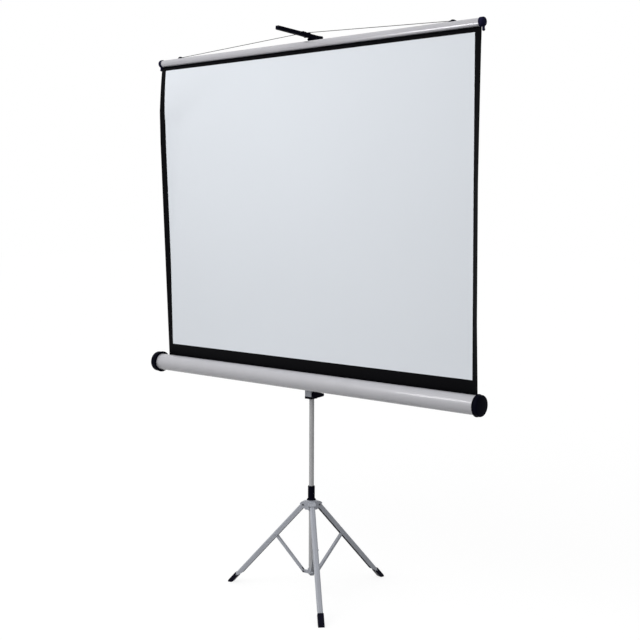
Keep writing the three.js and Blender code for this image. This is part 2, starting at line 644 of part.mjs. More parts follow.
// Carriage
function buildCarriage() {
  const half = BRACKET_WIDTH / 2;
  const inside = half - BRACKET_WALL;
  const front = -BRACKET_FRONT;
  const plan = polygon([
    [-half, front], [half, front], [half, BRACKET_BACK], [inside, BRACKET_BACK],
    [inside, front + BRACKET_WALL], [-inside, front + BRACKET_WALL], [-inside, BRACKET_BACK], [-half, BRACKET_BACK],
  ]);
  const cheeks = extrude(plan, BRACKET_CHEEK_TOP_Z - BRACKET_BOTTOM_Z).translate(0, 0, BRACKET_BOTTOM_Z);
  const plate = extrudeAlongY(
    roundedRectangle(-half, BRACKET_BOTTOM_Z, half, CASE_AXIS_Z + PLATE_ABOVE_BOLT, BRACKET_WALL * 3),
    BRACKET_WALL,
  ).translate(0, front + BRACKET_WALL / 2, 0);
  const boltHole = revolveY(rod(BOLT_RADIUS + GAP, -BRACKET_FRONT, BRACKET_FRONT), SMALL_SEGMENTS);
  boltHole.translate(0, front, CASE_AXIS_Z);
  const pinZ = BRACKET_BOTTOM_Z + LEVER_PIN_ABOVE_BRACKET;
  const pinHole = revolveX(rod(LEVER_PIN_RADIUS + GAP, 0, BRACKET_WIDTH), SMALL_SEGMENTS);
  pinHole.translate(0, LEVER_PIN_Y, pinZ);
  addPiece('carriage_bracket', combine(cheeks, { add: [plate], cut: [boltHole, pinHole] }), STEEL_GREY);

  const bushHalf = inside - GAP;
  const bushFront = front + BRACKET_WALL + GAP;
  const lipTop = BRACKET_BOTTOM_Z - GAP;
  const lipHalf = half + BUSH_LIP_OVERHANG;
  const block = extrude(
    roundedRectangle(-bushHalf, bushFront, bushHalf, BRACKET_BACK, 2),
    BRACKET_CHEEK_TOP_Z - lipTop + BUSH_LIP_HEIGHT,
    3,
  ).translate(0, 0, lipTop - BUSH_LIP_HEIGHT);
  const lip = extrude(
    roundedRectangle(-lipHalf, front - BUSH_LIP_OVERHANG, lipHalf, BRACKET_BACK + BUSH_LIP_OVERHANG, 4),
    BUSH_LIP_HEIGHT,
    3,
  ).translate(0, 0, lipTop - BUSH_LIP_HEIGHT);
  const bore = revolveZ(rod(MAST_BORE_RADIUS, lipTop - 2 * BUSH_LIP_HEIGHT, BRACKET_CHEEK_TOP_Z + BUSH_LIP_HEIGHT));
  const pinRelief = revolveX(rod(LEVER_PIN_RADIUS + GAP, bushHalf - 2, BRACKET_WIDTH), SMALL_SEGMENTS);
  pinRelief.translate(0, LEVER_PIN_Y, pinZ);
  addPiece('carriage_bush', combine(block, { add: [lip], cut: [bore, pinRelief] }), BLACK_PLASTIC);

  // Release lever on the right cheek, with its pin and return spring
  const washer = 2 * LEVER_SPRING_WIRE_RADIUS + 2 * GAP;
  const leverInner = half + washer;
  const tip = LEVER_BEHIND_PIN - LEVER_TIP_RADIUS;
  const lever = new THREE.Shape();
  lever.absarc(0, 0, LEVER_ROOT_RADIUS, Math.PI / 2, 1.5 * Math.PI, false);
  lever.lineTo(LEVER_ROOT_RADIUS * 0.5, -LEVER_ROOT_RADIUS);
  lever.absarc(tip, -LEVER_TIP_DROP, LEVER_TIP_RADIUS, -Math.PI / 2, Math.PI / 2, false);
  lever.lineTo(LEVER_ROOT_RADIUS * 0.5, LEVER_ROOT_RADIUS * 0.75);
  const leverHole = revolveX(rod(LEVER_PIN_RADIUS + GAP, -LEVER_WIDTH, LEVER_WIDTH), SMALL_SEGMENTS);
  const leverBody = combine(extrudeAlongX(lever, LEVER_WIDTH), { cut: [leverHole] });
  addPiece('release_lever', leverBody, BLACK_PLASTIC).position.set(leverInner + LEVER_WIDTH / 2, LEVER_PIN_Y, pinZ);
  const pinHead = leverInner + LEVER_WIDTH + GAP;
  const pin = [[0, bushHalf - 1.5], [LEVER_PIN_RADIUS, bushHalf - 1.5], [LEVER_PIN_RADIUS, pinHead],
    [LEVER_PIN_RADIUS + 2, pinHead], [LEVER_PIN_RADIUS + 1.5, pinHead + 1.5], [0, pinHead + 1.5]];
  addPiece('lever_pin', revolveX(pin, SMALL_SEGMENTS), BLACK_PLASTIC).position.set(0, LEVER_PIN_Y, pinZ);
  const coilRadius = LEVER_PIN_RADIUS + GAP + LEVER_SPRING_WIRE_RADIUS;
  const coilLength = washer - 2 * (LEVER_SPRING_WIRE_RADIUS + GAP);
  const coil = new HelixAlongX(coilRadius, coilLength / LEVER_SPRING_TURNS, 1 - 1 / SMALL_SEGMENTS);
  addPiece('lever_spring', wireAlong(coil, LEVER_SPRING_WIRE_RADIUS, SMALL_SEGMENTS, 3), BRIGHT_STEEL)
    .position.set(half + washer / 2, LEVER_PIN_Y, pinZ);

  // Bolt on which the case turns, with its head behind the bracket plate
  const plateBack = front + BRACKET_WALL + GAP;
  const bolt = [[0, front - GAP - BOLT_REACH], [BOLT_RADIUS, front - GAP - BOLT_REACH], [BOLT_RADIUS, plateBack],
    [BOLT_HEAD_RADIUS, plateBack], [BOLT_HEAD_RADIUS, plateBack + BOLT_HEAD_HEIGHT], [0, plateBack + BOLT_HEAD_HEIGHT]];
  addPiece('case_pivot_bolt', revolveY(bolt, SMALL_SEGMENTS), BRIGHT_STEEL).position.z = CASE_AXIS_Z;
}

// Case, with its saddle, caps, roller and spring
function capProfile(start, radius, width) {
  const plug = CASE_RADIUS - CASE_WALL - GAP;
  const body = radius - CAP_RIB_HEIGHT;
  const rib = start + GAP + CAP_RIB_WIDTH;
  const face = start + GAP + width;
  const profile = [
    [0, start - CAP_PLUG_DEPTH],
    [plug, start - CAP_PLUG_DEPTH],
    [plug, start + GAP],
    [radius - 1, start + GAP],
    [radius, start + GAP + 1],
    [radius, rib - 1],
    [radius - 1, rib],
    [body, rib],
  ];
  const steps = 5;
  for (let i = 0; i <= steps; i += 1) {
    const angle = (Math.PI / 2) * (i / steps);
    profile.push([
      body - CAP_EDGE_ROUND * (1 - Math.cos(angle)),
      face - CAP_EDGE_ROUND - CAP_DOME + CAP_EDGE_ROUND * Math.sin(angle),
    ]);
  }
  profile.push([body * 0.5, face - CAP_DOME * 0.3], [0, face]);
  return profile;
}

function buildCase() {
  const caseGroup = new THREE.Group();
  caseGroup.position.set(0, CASE_Y, CASE_AXIS_Z);
  model.add(caseGroup);
  addPiece('case_tube', slottedTube(CASE_RADIUS, CASE_WALL, CASE_SLOT_START, CASE_SLOT_END, CASE_LENGTH),
    SATIN_SILVER, caseGroup);

  const rear = -BRACKET_FRONT - GAP - CASE_Y;
  const seat = CASE_RADIUS + GAP;
  const upper = Math.asin(SADDLE_UP / seat);
  const lower = -Math.asin(SADDLE_DOWN / seat);
  const saddle = new THREE.Shape();
  saddle.absarc(0, 0, seat, lower, upper, false);
  saddle.lineTo(rear, SADDLE_UP);
  saddle.lineTo(rear, -SADDLE_DOWN);
  const boltHole = revolveY(rod(BOLT_RADIUS + GAP, rear - GAP - BOLT_REACH - GAP, rear + BOLT_REACH), SMALL_SEGMENTS);
  addPiece('case_saddle', combine(extrudeAlongX(saddle, SADDLE_LENGTH), { cut: [boltHole] }), STEEL_GREY, caseGroup);

  const axleSeat = CASE_LENGTH / 2 - CAP_PLUG_DEPTH;
  const axleHole = revolveX(rod(AXLE_RADIUS + GAP, 0, axleSeat + AXLE_SEAT_DEPTH + GAP), SMALL_SEGMENTS);
  const capSolid = (radius, width) =>
    combine(revolveX(capProfile(CASE_LENGTH / 2, radius, width), CASE_SEGMENTS), { cut: [axleHole] });
  const rightAxle = revolveX(rod(AXLE_RADIUS, axleSeat - PIN_AXLE_LENGTH, axleSeat + AXLE_SEAT_DEPTH), SMALL_SEGMENTS);
  const leftAxle = revolveX(rod(AXLE_RADIUS, axleSeat - SPRING_AXLE_LENGTH, axleSeat + AXLE_SEAT_DEPTH), SMALL_SEGMENTS);
  addPiece('end_cap_right', capSolid(RIGHT_CAP_RADIUS, RIGHT_CAP_WIDTH), BLACK_PLASTIC, caseGroup);
  addPiece('end_cap_left', capSolid(LEFT_CAP_RADIUS, LEFT_CAP_WIDTH), BLACK_PLASTIC, caseGroup).rotation.z = Math.PI;
  addPiece('roller_axle_right', rightAxle, BRIGHT_STEEL, caseGroup);
  addPiece('roller_axle_left', leftAxle, BRIGHT_STEEL, caseGroup).rotation.z = Math.PI;

  const rollerEnd = axleSeat - ROLLER_END_PLAY;
  const tubeEnd = rollerEnd - ROLLER_PLUG_FLANGE;
  addPiece('roller_tube', revolveX(ring(ROLLER_RADIUS - ROLLER_WALL, ROLLER_RADIUS, GAP - tubeEnd, tubeEnd - GAP)),
    ROLLER_STEEL, caseGroup);
  const plugRadius = ROLLER_RADIUS - ROLLER_WALL - GAP;
  const bore = AXLE_RADIUS + GAP;
  const plug = revolveX([[bore, tubeEnd - ROLLER_PLUG_DEPTH], [plugRadius, tubeEnd - ROLLER_PLUG_DEPTH],
    [plugRadius, tubeEnd], [ROLLER_RADIUS, tubeEnd], [ROLLER_RADIUS, rollerEnd], [bore, rollerEnd],
    [bore, tubeEnd - ROLLER_PLUG_DEPTH]], SMALL_SEGMENTS);
  addPiece('roller_plug_right', plug, BLACK_PLASTIC, caseGroup);
  addPiece('roller_plug_left', plug, BLACK_PLASTIC, caseGroup).rotation.z = Math.PI;
  const rollInner = ROLLER_RADIUS + GAP;
  addPiece('fabric_roll', revolveX(ring(rollInner, rollInner + ROLL_THICKNESS, -FABRIC_WIDTH / 2, FABRIC_WIDTH / 2)),
    SCREEN_CLOTH, caseGroup);
  const helix = new HelixAlongX(SPRING_RADIUS, SPRING_LENGTH, SPRING_TURNS);
  const springMiddle = axleSeat - ROLLER_PLUG_DEPTH - SPRING_LENGTH / 2 - 4 * SPRING_WIRE_RADIUS;
  addPiece('roller_spring', wireAlong(helix, SPRING_WIRE_RADIUS, SPRING_TURNS * SMALL_SEGMENTS, 2), BRIGHT_STEEL, caseGroup)
    .position.x = -springMiddle;
}

// Fabric, from the slat's bead down over the slot's lip to the roll
function buildFabric() {
  const half = FABRIC_THICKNESS / 2;
  const beadZ = SLAT_AXIS_Z - BEAD_RADIUS - GAP;
  const shoulderZ = SLAT_AXIS_Z - SLAT_CAP_RADIUS - GAP;
  const lipZ = CASE_AXIS_Z + Math.sqrt(CASE_RADIUS ** 2 - (fabricY(CASE_AXIS_Z) - CASE_Y) ** 2) + 1;
  const lip = new THREE.Vector2(fabricY(lipZ) - CASE_Y, lipZ - CASE_AXIS_Z);
  const rollRadius = ROLLER_RADIUS + GAP + ROLL_THICKNESS + GAP + half;
  const tangentAngle = lip.angle() - Math.acos(rollRadius / lip.length());
  const end = new THREE.Vector2(rollRadius * Math.cos(tangentAngle), rollRadius * Math.sin(tangentAngle));
  const run = end.clone().sub(lip).normalize().multiplyScalar(half);
  const sheet = polygon([
    [fabricY(shoulderZ) + half, shoulderZ],
    [fabricY(shoulderZ) - half, shoulderZ],
    [CASE_Y + lip.x - half, lipZ],
    [CASE_Y + end.x + run.y, CASE_AXIS_Z + end.y - run.x],
    [CASE_Y + end.x - run.y, CASE_AXIS_Z + end.y + run.x],
    [CASE_Y + lip.x + half, lipZ],
  ]);
  const overlap = SLAT_RADIUS;
  const hem = polygon([
    [fabricY(beadZ) + half, beadZ],
    [fabricY(beadZ) - half, beadZ],
    [fabricY(shoulderZ - overlap) - half, shoulderZ - overlap],
    [fabricY(shoulderZ - overlap) + half, shoulderZ - overlap],
  ]);
  const hemWidth = SLAT_LENGTH - 2 * (SLAT_PLUG_DEPTH + GAP);
  const fabric = combine(extrudeAlongX(sheet, FABRIC_WIDTH), { add: [extrudeAlongX(hem, hemWidth)] });
  addPiece('screen_fabric', fabric, SCREEN_CLOTH);
}

// Slat, with its caps, anchors, bead and wire
function slatCap() {
  const start = SLAT_LENGTH / 2;
  const plug = SLAT_RADIUS - SLAT_WALL - GAP;
  const profile = [[0, start - SLAT_PLUG_DEPTH], [plug, start - SLAT_PLUG_DEPTH], [plug, start + GAP],
    [SLAT_CAP_RADIUS, start + GAP]];
  const steps = 4;
  const face = start + GAP + SLAT_CAP_WIDTH;
  for (let i = 0; i <= steps; i += 1) {
    const angle = (Math.PI / 2) * (i / steps);
    profile.push([
      SLAT_CAP_RADIUS - SLAT_CAP_ROUND * (1 - Math.cos(angle)),
      face - SLAT_CAP_ROUND * (1 - Math.sin(angle)),
    ]);
  }
  profile.push([0, face]);
  const tailX = face - TAIL_RADIUS;
  const bend = new THREE.CatmullRomCurve3([
    new THREE.Vector3(tailX - 2, 0, 4),
    new THREE.Vector3(tailX + 1, 0, -SLAT_CAP_RADIUS * 0.6),
    new THREE.Vector3(tailX - 1, 0, -TAIL_DROP * 0.75),
    new THREE.Vector3(tailX, 0, -TAIL_DROP),
  ]);
  const tail = wireAlong(bend, TAIL_RADIUS, FINE_SEGMENTS, 5);
  const tip = new THREE.SphereGeometry(TAIL_RADIUS * 1.15, SMALL_SEGMENTS, FINE_SEGMENTS);
  tip.translate(tailX, 0, -TAIL_DROP);
  const beadRoom = revolveX(rod(BEAD_RADIUS + GAP, 0, start), SMALL_SEGMENTS);
  return combine(revolveX(profile), { add: [tail, tip], cut: [beadRoom] });
}

function anchorGeometry() {
  const l = ANCHOR_LENGTH / 2;
  const h = ANCHOR_HEIGHT;
  const hump = new THREE.Shape();
  hump.moveTo(-l, 0);
  hump.lineTo(l, 0);
  hump.quadraticCurveTo(l * 0.9, h * 0.5, l * 0.4, h * 0.55);
  hump.quadraticCurveTo(l * 0.1, h * 1.3, -l * 0.4, h);
  hump.quadraticCurveTo(-l * 0.8, h * 0.6, -l, 0);
  const body = extrudeAlongY(hump, ANCHOR_WIDTH, 4);
  const seat = revolveX(rod(SLAT_RADIUS + GAP, -ANCHOR_LENGTH, ANCHOR_LENGTH), CASE_SEGMENTS);
  seat.translate(0, 0, -SLAT_RADIUS);
  return combine(body, { add: [box(-l, l, -ANCHOR_WIDTH / 2, ANCHOR_WIDTH / 2, -2, 0.01)], cut: [seat] });
}

// A point on the arm, from its pin: u forward along the arm, v square to it
function armPoint(u, v) {
  return new THREE.Vector3(
    0,
    ARM_PIN_BEHIND_MAST - u * Math.cos(ARM_TILT) + v * Math.sin(ARM_TILT),
    ARM_PIN_Z + u * Math.sin(ARM_TILT) + v * Math.cos(ARM_TILT),
  );
}

const NOTCH_U = (ARM_PIN_BEHIND_MAST - SLAT_Y - NOTCH_BEHIND_SLAT) / Math.cos(ARM_TILT);
const NOTCH_FLOOR = ARM_HEIGHT / 2 - NOTCH_DEPTH + TOOTH_HEIGHT;

function buildSlat() {
  const slat = new THREE.Group();
  slat.position.set(0, SLAT_Y, SLAT_AXIS_Z);
  model.add(slat);
  const slotAngle = THREE.MathUtils.radToDeg(Math.asin(SLAT_SLOT_WIDTH / 2 / SLAT_RADIUS));
  addPiece('slat_tube', slottedTube(SLAT_RADIUS, SLAT_WALL, 270 - slotAngle, 270 + slotAngle, SLAT_LENGTH),
    SATIN_SILVER, slat);
  const beadLength = SLAT_LENGTH / 2 - GAP;
  addPiece('fabric_bead', revolveX(rod(BEAD_RADIUS, -beadLength, beadLength), SMALL_SEGMENTS), BLACK_PLASTIC, slat);
  const cap = slatCap();
  addPiece('slat_cap_right', cap, BLACK_PLASTIC, slat);
  addPiece('slat_cap_left', cap, BLACK_PLASTIC, slat).rotation.z = Math.PI;
  const anchor = anchorGeometry();
  const anchorX = SLAT_LENGTH / 2 - ANCHOR_FROM_END;
  addPiece('wire_anchor_left', anchor, BLACK_PLASTIC, slat).position.set(-anchorX, 0, SLAT_RADIUS + GAP);
  const rightAnchor = addPiece('wire_anchor_right', anchor, BLACK_PLASTIC, slat);
  rightAnchor.position.set(anchorX, 0, SLAT_RADIUS + GAP);
  rightAnchor.rotation.z = Math.PI;

  // Wire from anchor to anchor, over the arm's notch
  const apex = armPoint(NOTCH_U, NOTCH_FLOOR + GAP + WIRE_RADIUS);
  const endZ = SLAT_AXIS_Z + SLAT_RADIUS + ANCHOR_HEIGHT * 0.4;
  const endX = anchorX - ANCHOR_LENGTH / 2 - GAP;
  const left = new THREE.Vector3(-endX, SLAT_Y, endZ);
  const right = new THREE.Vector3(endX, SLAT_Y, endZ);
  const saddle = ARM_WIDTH;
  const fromLeft = apex.clone().setX(-saddle);
  const fromRight = apex.clone().setX(saddle);
  const route = new THREE.CurvePath();
  route.add(new THREE.LineCurve3(left, fromLeft));
  route.add(new THREE.LineCurve3(fromLeft, fromRight));
  route.add(new THREE.LineCurve3(fromRight, right));
  addPiece('hanging_wire', wireAlong(route, WIRE_RADIUS, 36, 3), BRIGHT_STEEL);
}

// Arm, its knuckle on the rod's top and the pin between them
function buildArm() {
  const h = ARM_HEIGHT / 2;
  const t = ARM_TIP_HEIGHT / 2;
  const tooth = h + TOOTH_HEIGHT;
  const notchWidth = 2 * (WIRE_RADIUS + GAP);
  const outline = new THREE.Shape();
  outline.absarc(0, 0, h, -Math.PI / 2, Math.PI / 2, true);
  outline.lineTo(NOTCH_U - 34, h);
  outline.lineTo(NOTCH_U - 28, tooth);
  outline.lineTo(NOTCH_U - 18, tooth);
  outline.lineTo(NOTCH_U - 12, h);
  outline.lineTo(NOTCH_U - notchWidth * 1.5, tooth);
  outline.lineTo(NOTCH_U - notchWidth / 2, NOTCH_FLOOR);
  outline.lineTo(NOTCH_U + notchWidth / 2, NOTCH_FLOOR);
  outline.lineTo(NOTCH_U + notchWidth * 1.2, tooth);
  outline.lineTo(NOTCH_U + notchWidth * 1.2 + 5, tooth);
  outline.lineTo(NOTCH_U + notchWidth * 1.2 + 9, h);
  outline.lineTo(ARM_LENGTH - ARM_TIP_ROUND, t);
  outline.quadraticCurveTo(ARM_LENGTH, t, ARM_LENGTH, t - ARM_TIP_ROUND);
  outline.lineTo(ARM_LENGTH, ARM_TIP_ROUND - t);
  outline.quadraticCurveTo(ARM_LENGTH, -t, ARM_LENGTH - ARM_TIP_ROUND, -t);
  outline.lineTo(NOTCH_U - 6, -h);
  outline.lineTo(NOTCH_U - 11, -h - TOOTH_HEIGHT);
  outline.lineTo(NOTCH_U - 15, -h);
  const holes = [
    revolveX(rod(ARM_PIN_RADIUS + GAP, -ARM_WIDTH, ARM_WIDTH), SMALL_SEGMENTS),
    revolveX(rod(ARM_HOLE_RADIUS, -ARM_WIDTH, ARM_WIDTH), SMALL_SEGMENTS).translate(0, ARM_LENGTH - ARM_HOLE_INSET, 0),
  ];
  const arm = combine(extrudeAlongX(outline, ARM_WIDTH), { cut: holes });
  const armMesh = addPiece('keystone_arm', arm, BLACK_PLASTIC);
  armMesh.position.set(0, ARM_PIN_BEHIND_MAST, ARM_PIN_Z);
  armMesh.rotation.set(-ARM_TILT, 0, Math.PI);

  const cheek = ARM_WIDTH / 2 + HINGE_GAP;
  const outer = cheek + KNUCKLE_WALL;
  const deckBottom = ROD_TOP_Z + GAP;
  const deckTop = deckBottom + KNUCKLE_WALL;
  const rear = ARM_PIN_BEHIND_MAST + h + KNUCKLE_WALL;
  const rearTop = ARM_PIN_Z + h;
  const rearBottom = ARM_PIN_Z - h - KNUCKLE_WALL;
  const side = new THREE.Shape();
  side.moveTo(-KNUCKLE_NOSE, deckTop);
  side.lineTo(-SOCKET_RADIUS, deckBottom - SOCKET_DEPTH / 2);
  side.lineTo(SOCKET_RADIUS, deckBottom - SOCKET_DEPTH / 2);
  side.lineTo(ARM_PIN_BEHIND_MAST - h, rearBottom);
  side.lineTo(rear - KNUCKLE_ROUND, rearBottom);
  side.quadraticCurveTo(rear, rearBottom, rear, rearBottom + KNUCKLE_ROUND);
  side.lineTo(rear, rearTop - KNUCKLE_ROUND);
  side.quadraticCurveTo(rear, rearTop, rear - KNUCKLE_ROUND, rearTop);
  side.lineTo(ARM_PIN_BEHIND_MAST - h, rearTop);
  side.lineTo(-KNUCKLE_NOSE + 6, deckTop + 5);
  const socket = revolveZ(rod(SOCKET_RADIUS, deckBottom - SOCKET_DEPTH, deckTop));
  const rodSeat = revolveZ(rod(ROD_RADIUS + GAP, deckBottom - 2 * SOCKET_DEPTH, deckBottom));
  const room = h + GAP + HINGE_GAP;
  const slot = new THREE.Shape();
  const reach = 2 * ARM_LENGTH;
  slot.absarc(0, 0, room, -Math.PI / 2, 0, false);
  slot.lineTo(room, reach);
  slot.lineTo(-reach, reach);
  slot.lineTo(-reach, -room);
  const slotSolid = extrudeAlongX(slot, 2 * cheek);
  slotSolid.rotateX(-ARM_TILT).translate(0, ARM_PIN_BEHIND_MAST, ARM_PIN_Z);
  const pinHole = revolveX(rod(ARM_PIN_RADIUS + GAP, -2 * outer, 2 * outer), SMALL_SEGMENTS);
  pinHole.translate(0, ARM_PIN_BEHIND_MAST, ARM_PIN_Z);
  const knuckle = combine(extrudeAlongX(side, 2 * outer), { add: [socket], cut: [rodSeat, slotSolid, pinHole] });
  addPiece('arm_knuckle', knuckle, BLACK_PLASTIC);

  const head = outer + GAP;
  const half = [[ARM_PIN_RADIUS, head], [ARM_PIN_RADIUS + 1.8, head], [ARM_PIN_RADIUS + 1.2, head + 1.4], [0, head + 1.4]];
  const pin = [...half.map(([r, x]) => [r, -x]).reverse(), ...half];
  addPiece('arm_pin', revolveX(pin, SMALL_SEGMENTS), BLACK_PLASTIC)
    .position.set(0, ARM_PIN_BEHIND_MAST, ARM_PIN_Z);
}

buildMast();
buildTripod();
buildCarriage();
buildCase();
buildFabric();
buildSlat();
buildArm();

// Origin: the centre of the footprint, on the floor
model.updateMatrixWorld(true);
const bounds = new THREE.Box3().setFromObject(model, true);
const centre = bounds.getCenter(new THREE.Vector3());
model.position.set(-centre.x, -centre.y, -bounds.min.z);
model.updateMatrixWorld(true);

export default model;
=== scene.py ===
"""Looks for the tripod projection screen: the hung fabric, the finish of every surface, light and camera.

Lengths are in metres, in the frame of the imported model: X is the screen's right side seen from the front,
the screen faces -Y, Z is up, and the floor is at z = 0.
"""

import json
import math

import bmesh
import bpy
from mathutils import Matrix, Vector
from mathutils.bvhtree import BVHTree


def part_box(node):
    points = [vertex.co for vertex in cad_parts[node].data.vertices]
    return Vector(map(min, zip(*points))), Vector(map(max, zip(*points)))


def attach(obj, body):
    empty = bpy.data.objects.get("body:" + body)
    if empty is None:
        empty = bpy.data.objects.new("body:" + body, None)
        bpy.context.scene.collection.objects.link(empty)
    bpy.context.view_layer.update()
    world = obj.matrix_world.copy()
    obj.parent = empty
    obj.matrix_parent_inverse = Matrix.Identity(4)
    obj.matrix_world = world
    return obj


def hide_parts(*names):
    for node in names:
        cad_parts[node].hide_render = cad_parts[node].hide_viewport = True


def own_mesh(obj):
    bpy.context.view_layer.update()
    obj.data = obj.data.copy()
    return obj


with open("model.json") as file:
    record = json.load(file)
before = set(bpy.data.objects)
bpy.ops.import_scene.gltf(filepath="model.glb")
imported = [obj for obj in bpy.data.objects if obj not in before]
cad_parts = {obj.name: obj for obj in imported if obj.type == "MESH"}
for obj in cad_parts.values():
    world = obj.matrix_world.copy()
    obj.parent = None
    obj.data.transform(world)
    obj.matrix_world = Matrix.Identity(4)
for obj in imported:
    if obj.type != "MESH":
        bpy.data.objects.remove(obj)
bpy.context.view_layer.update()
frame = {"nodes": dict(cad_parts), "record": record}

# Camera, fitted to the photograph: place from the mast's foot, aim, and focal length in image pixels
CAMERA_FROM_MAST = Vector((2.757, -3.070, 1.457))
CAMERA_YAW = math.radians(41.51)
CAMERA_PITCH = math.radians(5.484)
CAMERA_ROLL = math.radians(0.265)
FOCAL_PIXELS = 1099
IMAGE_PIXELS = 640
SENSOR_WIDTH = 36

# Fabric: the black borders around the white area, and the side edges' forward curl
SIDE_BORDER = 0.025
TOP_BORDER = 0.0164
BOTTOM_BORDER = 0.044
FABRIC_THICKNESS = 0.0006
FABRIC_FROM_MAST = 0.0379
FABRIC_INTO_CASE = 0.018
LEFT_CURL = 0.0212
RIGHT_CURL = 0.0145
RIGHT_CURL_WIDTH = 0.042
FABRIC_ROWS = 80
FABRIC_COLUMNS = 48
EDGE_COLUMNS = 16
EDGE_ZONE = 0.130

# Hanging wire: its radius, the number of sides of its round section, and the height of its ends over the slat
WIRE_RADIUS = 0.0011
WIRE_SIDES = 8
WIRE_ABOVE_SLAT = 0.002

# Light of the room: levels overhead, at the bright front and at the dim back, and the white that the
# floor still needs to look white beside the room's light
WORLD_TOP = 1.0
WORLD_BRIGHT = 1.58
WORLD_DIM = 0.0
DIM_SIDE = Vector((0.57, 0.82, 0))
OVERHEAD = Vector((0, -0.15, 0.99))
FLOOR_COLOUR = 0.22
FLOOR_LIFT = 0.81

# Edge softening of the rigid pieces
BEVEL_WIDTH = 0.0005
SMOOTH_ANGLE = math.radians(35)

# Width within which a channel's face looks at the channel's other wall; such faces get painted shade
CHANNEL_REACH = 0.03


def centre_of(name):
    low, high = (Vector(corner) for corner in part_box(name))
    return (low + high) / 2


MAST_AXIS = centre_of("mast_tube")


# Shader helpers
def new_material(name):
    material = bpy.data.materials.new(name)
    material.use_nodes = True
    tree = material.node_tree
    return material, tree, tree.nodes["Principled BSDF"]


def add_node(tree, kind, **settings):
    node = tree.nodes.new(kind)
    for key, value in settings.items():
        if key in node.inputs:
            node.inputs[key].default_value = value
        else:
            setattr(node, key, value)
    return node


def link(tree, source, output, target, socket):
    tree.links.new(source.outputs[output], target.inputs[socket])


def object_position(tree, stretch=(1, 1, 1)):
    place = add_node(tree, "ShaderNodeTexCoord")
    mapping = add_node(tree, "ShaderNodeMapping")
    mapping.inputs["Scale"].default_value = stretch
    link(tree, place, "Object", mapping, "Vector")
    return mapping


def noise(tree, position, scale, detail=3.0, roughness=0.5):
    texture = add_node(tree, "ShaderNodeTexNoise", Scale=scale, Detail=detail, Roughness=roughness)
    link(tree, position, "Vector", texture, "Vector")
    return texture


def ramp_between(tree, texture, low, high, start=0.3, end=0.7):
    """A colour that varies between two tones with a texture's value."""
    ramp = add_node(tree, "ShaderNodeValToRGB")
    ramp.color_ramp.elements[0].position = start
    ramp.color_ramp.elements[0].color = (*low, 1)
    ramp.color_ramp.elements[1].position = end
    ramp.color_ramp.elements[1].color = (*high, 1)
    link(tree, texture, "Fac", ramp, "Fac")
    return ramp


def vary_roughness(tree, shader, texture, low, high):
    spread = add_node(tree, "ShaderNodeMapRange")
    spread.inputs["To Min"].default_value = low
    spread.inputs["To Max"].default_value = high
    link(tree, texture, "Fac", spread, "Value")
    link(tree, spread, "Result", shader, "Roughness")


def add_bump(tree, shader, texture, output, strength, distance):
    bump = add_node(tree, "ShaderNodeBump", Strength=strength, Distance=distance)
    link(tree, texture, output, bump, "Height")
    link(tree, bump, "Normal", shader, "Normal")


def scaled(colour, factor):
    return tuple(channel * factor for channel in colour)


# Materials
def metal(name, colour, metallic, roughness, grain_stretch, contrast=0.06, bump=0.05, specular=0.5, coat=0.0):
    """Painted or drawn metal: fine grain along the part, slight tone and gloss variation, a thin lacquer."""
    material, tree, shader = new_material(name)
    shader.inputs["Metallic"].default_value = metallic
    shader.inputs["Specular IOR Level"].default_value = specular
    shader.inputs["Coat Weight"].default_value = coat
    shader.inputs["Coat Roughness"].default_value = 0.05
    fine = noise(tree, object_position(tree, grain_stretch), 900, detail=4)
    broad = noise(tree, object_position(tree), 14, detail=5, roughness=0.6)
    tone = ramp_between(tree, broad, scaled(colour, 1 - contrast), scaled(colour, 1 + contrast))
    link(tree, tone, "Color", shader, "Base Color")
    vary_roughness(tree, shader, broad, roughness - 0.04, roughness + 0.06)
    add_bump(tree, shader, fine, "Fac", bump, 0.0001)
    return material


def moulded_plastic(name, colour, roughness, specular=0.008):
    """Dark moulded plastic or rubber with a fine spark-eroded grain."""
    material, tree, shader = new_material(name)
    shader.inputs["Specular IOR Level"].default_value = specular
    shader.inputs["Specular Tint"].default_value = (0.80, 0.80, 1.0, 1)
    position = object_position(tree)
    grain = noise(tree, position, 1400, detail=2)
    broad = noise(tree, position, 30, detail=4)
    tone = ramp_between(tree, broad, scaled(colour, 0.8), scaled(colour, 1.25))
    link(tree, tone, "Color", shader, "Base Color")
    vary_roughness(tree, shader, broad, roughness - 0.07, roughness + 0.07)
    add_bump(tree, shader, grain, "Fac", 0.16, 0.0002)
    return material


def weave_height(tree, period):
    """A plain weave as the product of two crossed waves."""
    position = object_position(tree)
    waves = []
    for axis in ("X", "Z"):
        wave = add_node(tree, "ShaderNodeTexWave", wave_type="BANDS", bands_direction=axis, wave_profile="SIN")
        wave.inputs["Scale"].default_value = 1 / (period * 2 * math.pi) * math.pi
        wave.inputs["Distortion"].default_value = 0.4
        link(tree, position, "Vector", wave, "Vector")
        waves.append(wave)
    weave = add_node(tree, "ShaderNodeMath", operation="MULTIPLY")
    tree.links.new(waves[0].outputs["Fac"], weave.inputs[0])
    tree.links.new(waves[1].outputs["Fac"], weave.inputs[1])
    return weave


def coated_cloth(name, colour, roughness, specular, contrast, bump):
    """Coated screen cloth: a fine weave under the coating and a faint cloudiness across the sheet."""
    material, tree, shader = new_material(name)
    clouds = noise(tree, object_position(tree), 2.2, detail=3)
    tone = ramp_between(tree, clouds, scaled(colour, 1 - contrast), scaled(colour, 1 + contrast))
    link(tree, tone, "Color", shader, "Base Color")
    shader.inputs["Roughness"].default_value = roughness
    shader.inputs["Specular IOR Level"].default_value = specular
    add_bump(tree, shader, weave_height(tree, 0.0008), "Value", bump, 0.0001)
    return material


